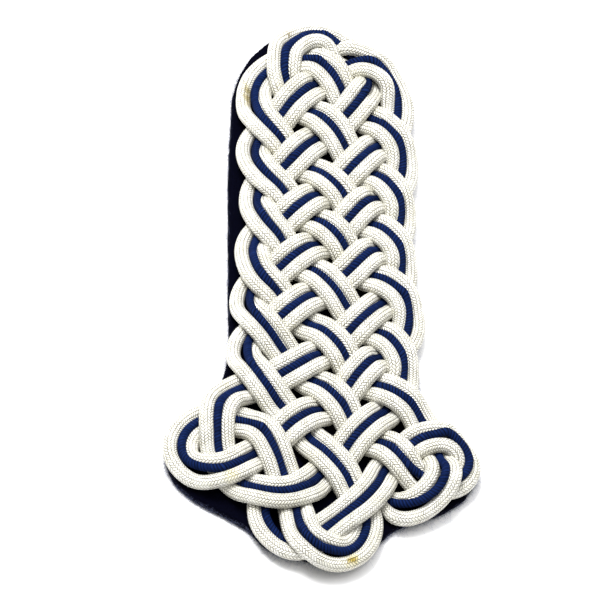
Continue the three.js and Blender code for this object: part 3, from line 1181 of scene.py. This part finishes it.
@dataclass
class FrayedTuft:
    """A few soiled threads that stand out of the outer silver cord at the top loop."""

    strand: Strand
    beside: Place = (-9.6, 78.8, 8.0)
    threads: int = 26
    root_reach: float = 1.7
    scatter: float = 0.25
    spread: float = 0.5
    curl: float = 0.35
    length: Pair = (0.9, 2.2)
    radius: float = 0.06
    seed: int = 5

    def build(self, material: Material) -> Object:
        """Makes the threads. They are rooted just inside the cord, on the side of the tuft's place,
        and fan outwards.

        Args:
            material: the threads' finish.

        Returns:
            The new piece.
        """
        random = np.random.default_rng(self.seed)
        place = np.array(self.beside)
        heart = self.strand.line[np.linalg.norm(self.strand.line - place, axis=1).argmin()]
        out = (place - heart) / np.linalg.norm(place - heart)
        root = heart + out * self.root_reach + random.normal(scale=self.scatter, size=(self.threads, 3))
        way = unit(out + random.normal(scale=self.spread, size=(self.threads, 3)))
        curl = random.normal(scale=self.curl, size=(self.threads, 3))
        length = random.uniform(*self.length, self.threads)
        piece = hair_object("frayed_silver_tuft", curled_lines(root, way, curl, length), way, self.radius)
        return dressed(piece, material)


@dataclass
class ClothBacking:
    """The cloth that the plait is sewn on, with soft cut edges and loose hairs along them."""

    node: str = "cloth_backing"
    thickness: float = CLOTH_THICKNESS
    heart: Pair = (0.0, -37.0)
    edge_step: float = 0.5
    overlap: int = 3
    overlap_samples: int = 40
    flat_shares: tuple[float, ...] = (0.03, 0.3, 0.6, 0.85, 0.96)
    rounding: float = 0.8
    edge_rings: int = 9
    wobble: float = 0.035
    wobble_window: int = 9
    hairs: int = 7400
    hair_length: Pair = (0.6, 3.6)
    hair_shortening: Pair = (0.4, 1.0)
    hair_radius: float = 0.018
    hair_depth: float = 0.15
    hair_roots: Pair = (0.15, 0.05)
    hair_spread: float = 0.75
    hair_curl: float = 0.5
    hair_margins: Pair = (0.06, 0.1)
    seed: int = 11

    def outline(self) -> Array:
        """The solid's outline, made smooth. Its corners are put in order by their angle round the
        heart, and the line runs on past its start, where it is cut at the same corner.

        Returns:
            Points in order, shape (n, 2).
        """
        corners = np.unique(solid_corners(self.node)[:, :2], axis=0)
        angle = np.arctan2(corners[:, 1] - self.heart[1], corners[:, 0] - self.heart[0])
        corners = corners[np.argsort(angle)]
        looped = np.concatenate([corners[-self.overlap:], corners, corners[:self.overlap + 1]])
        line = smooth_line(np.pad(looped, ((0, 0), (0, 1))), self.edge_step)[:, :2]
        away = np.linalg.norm(line - corners[0], axis=1)
        last = len(line) - self.overlap_samples
        return line[away[:self.overlap_samples].argmin():last + away[last:].argmin()]

    def outward(self, edge: Array) -> Array:
        """The outward normals of the outline: its central differences, turned to the right."""
        along = np.roll(edge, -1, axis=0) - np.roll(edge, 1, axis=0)
        return unit(np.stack([along[:, 1], -along[:, 0]], axis=1))

    def build(self, material: Material) -> Object:
        """Makes the cloth: its outline is carried from the middle of the underside over a rounded
        edge to the middle of the top, scaled towards the heart on the flat parts. On the edge it
        goes in by rounding (1 − cos a) and up by thickness/2 sin a, and wavers a little.

        Args:
            material: the cloth's finish.

        Returns:
            The new piece, in place of the solid.
        """
        edge = self.outline()
        out = self.outward(edge)
        random = np.random.default_rng(self.seed)
        noise = np.tile(random.normal(size=len(edge)), 3)
        wobble = np.convolve(noise, np.hanning(self.wobble_window), "same")
        wobble = wobble[len(edge):2 * len(edge)] * self.wobble
        heart = np.array(self.heart)
        middle = self.thickness / 2
        levels = [(heart + (edge - heart) * share, 0.0) for share in self.flat_shares]
        for angle in np.linspace(-math.pi / 2, math.pi / 2, self.edge_rings):
            inset = self.rounding * (1 - math.cos(angle)) + wobble * math.cos(angle)
            levels.append((edge - out * inset[:, None], middle + middle * math.sin(angle)))
        levels += [(plan, self.thickness) for plan, _ in levels[:len(self.flat_shares)][::-1]]
        rings = np.array([np.insert(plan, 2, height, axis=1) for plan, height in levels])
        piece = surface_object("wool_backing", rings, np.arange(len(rings), dtype=float))
        dressed(piece, material, self.node)
        after = np.roll(edge, -1, axis=0)
        area = abs(float((edge[:, 0] * after[:, 1] - edge[:, 1] * after[:, 0]).sum())) / 2 * MM**2
        return piece

    def build_hairs(self, material: Material) -> Object:
        """Makes the loose hairs, which start just inside the edge and stay between the cloth's faces.

        Args:
            material: the hairs' finish.

        Returns:
            The new piece.
        """
        edge = self.outline()
        random = np.random.default_rng(self.seed + 1)
        spot = random.integers(0, len(edge), self.hairs)
        out = self.outward(edge)[spot]
        height = random.uniform(self.hair_roots[0], self.thickness - self.hair_roots[1], self.hairs)
        root = np.concatenate([edge[spot] - out * self.hair_depth, height[:, None]], axis=1)
        length = random.uniform(*self.hair_length, self.hairs)
        length = length * random.uniform(*self.hair_shortening, self.hairs)
        way = np.insert(out, 2, 0.0, axis=1)
        way = unit(way + random.normal(scale=self.hair_spread, size=(self.hairs, 3)))
        curl = random.normal(scale=self.hair_curl, size=(self.hairs, 3))
        lines = curled_lines(root, way, curl, length)
        lowest, highest = self.hair_margins[0], self.thickness - self.hair_margins[1]
        lines[:, :, 2] = np.clip(lines[:, :, 2], lowest, highest)
        piece = hair_object("loose_wool_hairs", lines, way, self.hair_radius)
        return dressed(piece, material)


@dataclass(frozen=True)
class SoftLight:
    """A square soft light that faces the object: its place and side in metres, its power in watts."""

    name: str
    place: Place
    side: float
    power: float

    def build(self) -> Object:
        """Makes the light.

        Returns:
            The new light.
        """
        light = bpy.data.lights.new(self.name, "AREA")
        light.size = self.side
        light.energy = self.power
        lamp = bpy.data.objects.new(self.name, light)
        lamp.location = self.place
        lamp.rotation_mode = "QUATERNION"
        lamp.rotation_quaternion = Vector(self.place).to_track_quat("Z", "Y")
        bpy.context.scene.collection.objects.link(lamp)
        return lamp


@dataclass
class Studio:
    """A white floor, soft light from the upper left and the camera at the photograph's angle. The
    camera's distance and aim are in millimetres, and its focal length is in the frame's pixels."""

    elevation: float = 57.0
    turn: float = 16.5
    distance: float = 2300.0
    focal_pixels: float = 8740.0
    frame_pixels: float = 600.0
    aim: Place = (0.31, -2.63, 6.0)
    aim_pixel: Pair = (324.5, 300.0)
    sensor: float = 36.0
    clip: Pair = (0.1, 20.0)
    floor_reach: float = 3.0
    lights: tuple[SoftLight, ...] = (
        SoftLight("key_light", (-0.32, 0.31, 0.92), 0.42, 14.9),
        SoftLight("overhead_light", (0.05, 0.13, 0.92), 0.9, 8.4),
    )
    room_colour: Colour = (1.0, 1.0, 1.0, 1.0)
    room_strength: float = 0.4

    def camera(self) -> Object:
        """Makes the camera, which sees the aim point at its pixel and the strap upright.

        Returns:
            The new camera.
        """
        rise, turn = math.radians(self.elevation), math.radians(self.turn)
        back = Vector((-math.sin(turn) * math.cos(rise), -math.cos(turn) * math.cos(rise), math.sin(rise)))
        level = Vector((math.cos(turn), -math.sin(turn), 0.0))
        upward = back.cross(level)
        strap = Vector((level.y, upward.y)).normalized()
        right = level * strap.y - upward * strap.x
        up = level * strap.x + upward * strap.y
        middle = self.frame_pixels / 2
        sideways = right * (self.aim_pixel[0] - middle) - up * (self.aim_pixel[1] - middle)
        spot = (Vector(self.aim) - (-back + sideways / self.focal_pixels) * self.distance) * MM
        lens = bpy.data.cameras.new("photo_camera")
        lens.sensor_width = self.sensor
        lens.lens = self.focal_pixels / self.frame_pixels * self.sensor
        lens.clip_start, lens.clip_end = self.clip
        camera = bpy.data.objects.new("photo_camera", lens)
        camera.matrix_world = Matrix((
            (right.x, up.x, back.x, spot.x), (right.y, up.y, back.y, spot.y),
            (right.z, up.z, back.z, spot.z), (0, 0, 0, 1),
        ))
        bpy.context.scene.collection.objects.link(camera)
        bpy.context.scene.camera = camera
        return camera

    def build(self) -> None:
        """Makes the floor, the lights, the room's light and the camera."""
        corners = np.array([[-1, -1, 0], [1, -1, 0], [1, 1, 0], [-1, 1, 0]]) * self.floor_reach
        floor = mesh_object("floor", corners, [np.array([[0, 1, 2, 3]])])
        floor.data.materials.append(PaleFloor().build())
        for light in self.lights:
            light.build()
        world = bpy.data.worlds.new("room_light")
        world.use_nodes = True
        background = world.node_tree.nodes["Background"].inputs
        background["Color"].default_value = self.room_colour
        background["Strength"].default_value = self.room_strength
        bpy.context.scene.world = world
        bpy.context.scene.view_settings.view_transform = "Standard"
        self.camera()


def main() -> None:
    """Builds the studio, the plaited cords and the cloth, and reports each piece."""
    logging.basicConfig(level=logging.INFO, format="%(name)s: %(message)s")
    Studio().build()
    run = PlaitedRun()
    left = run.add("silver_cord_left", run.silver_radius)
    right = run.add("silver_cord_right", run.silver_radius)
    blue = run.add("blue_cord", run.blue_radius)
    run.settle()
    for make_effect in (braid_effect, twist_effect, stain_effect, wool_effect):
        make_effect()
    silver = SilverBraid(stains=STAINS).build()
    blue_cord = BlueCord("blue_twisted_cord", blue)
    backing = ClothBacking()
    pieces = [
        SilverCord("silver_braided_cord_left", left).build(silver),
        SilverCord("silver_braided_cord_right", right).build(silver),
        blue_cord.build(BlueTwist(plies=blue_cord.plies, turn=blue_cord.turn).build()),
        backing.build(DarkWool().build()),
        backing.build_hairs(LooseHair().build()),
        FrayedTuft(right).build(SOILED_THREAD.build()),
    ]
    for piece in pieces:
        log.info("%s: %d faces", piece.name, len(piece.data.polygons))


if __name__ == "__main__":
    main()
